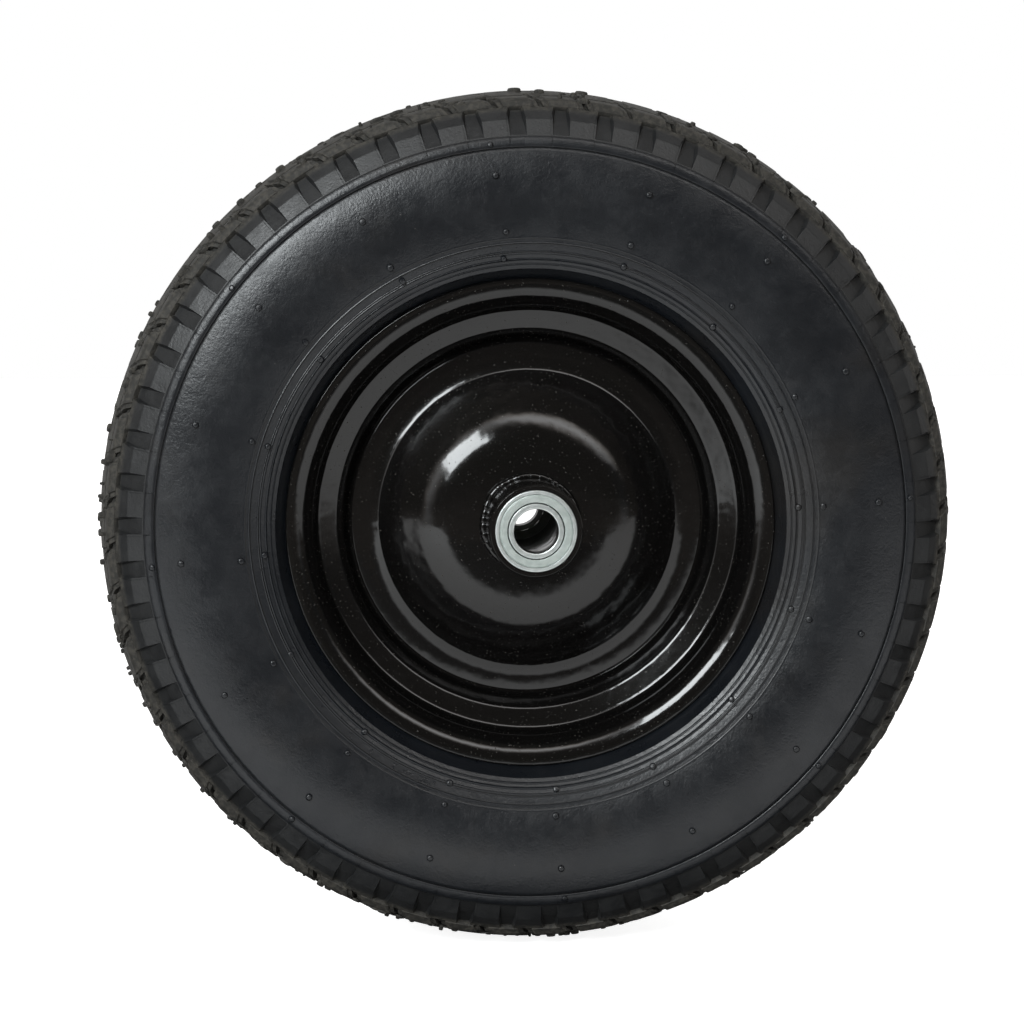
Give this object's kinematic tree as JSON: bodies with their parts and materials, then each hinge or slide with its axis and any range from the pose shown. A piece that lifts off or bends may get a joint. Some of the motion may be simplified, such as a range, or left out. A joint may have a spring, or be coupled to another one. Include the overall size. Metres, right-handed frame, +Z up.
{
  "type": "steel wheel",
  "caption": "Pneumatic barrow wheel with a block-tread rubber tyre and inner tube on a pressed steel rim, domed discs, and a hub tube with a shielded ball bearing in each end.",
  "frame": {"origin": "the wheel's centre, on its axis and midway between the ends of the hub tube", "axes": "+Y along the wheel's axis, away from the front of the wheel; +Z up, towards the valve; +X to the right seen from the front"},
  "size_m": [0.3999, 0.12, 0.3998],
  "materials": {
    "tyre": "matt black rubber, dusty on the tread",
    "tube_rubber": "matt black rubber",
    "rim_paint": "gloss black paint",
    "stem_rubber": "smooth black rubber",
    "valve_brass": "plain brass",
    "cap_plastic": "black plastic",
    "bearing_steel": "ground steel",
    "ball_steel": "polished steel",
    "cage_steel": "machined steel",
    "shield_steel": "zinc-plated sheet"
  },
  "bodies": {
    "inner_rings": {"front_inner_ring": "bearing_steel", "rear_inner_ring": "bearing_steel"},
    "wheel": {"tyre": "tyre", "inner_tube": "tube_rubber", "front_rim": "rim_paint", "rear_rim": "rim_paint", "front_disc": "rim_paint", "rear_disc": "rim_paint", "hub_tube": "rim_paint", "front_outer_ring": "bearing_steel", "front_outer_shield": "shield_steel", "front_inner_shield": "shield_steel", "rear_outer_ring": "bearing_steel", "rear_outer_shield": "shield_steel", "rear_inner_shield": "shield_steel", "valve_stem": "stem_rubber", "valve_core": "valve_brass"},
    "front_ball_set": {"front_cage": "cage_steel", "front_balls": "ball_steel"},
    "rear_ball_set": {"rear_cage": "cage_steel", "rear_balls": "ball_steel"},
    "cap": {"valve_cap": "cap_plastic"}
  },
  "joints": [
    {"name": "wheel_spin", "type": "hinge", "parent": "inner_rings", "child": "wheel", "pos_m": [0, 0, 0], "axis": [0, 1, 0], "continuous": true},
    {"name": "front_cage_spin", "type": "hinge", "parent": "inner_rings", "child": "front_ball_set", "pos_m": [0, -0.0555, 0], "axis": [0, 1, 0], "continuous": true},
    {"name": "rear_cage_spin", "type": "hinge", "parent": "inner_rings", "child": "rear_ball_set", "pos_m": [0, 0.0555, 0], "axis": [0, 1, 0], "continuous": true},
    {"name": "valve_cap_slide", "type": "slide", "parent": "wheel", "child": "cap", "axis": [0, 0.9613, -0.2756], "range_m": [0, 0.016]}
  ],
  "couplings": [
    {"joint": "front_cage_spin", "follows": "wheel_spin", "ratio": 0.58354},
    {"joint": "rear_cage_spin", "follows": "wheel_spin", "ratio": 0.58354}
  ]
}
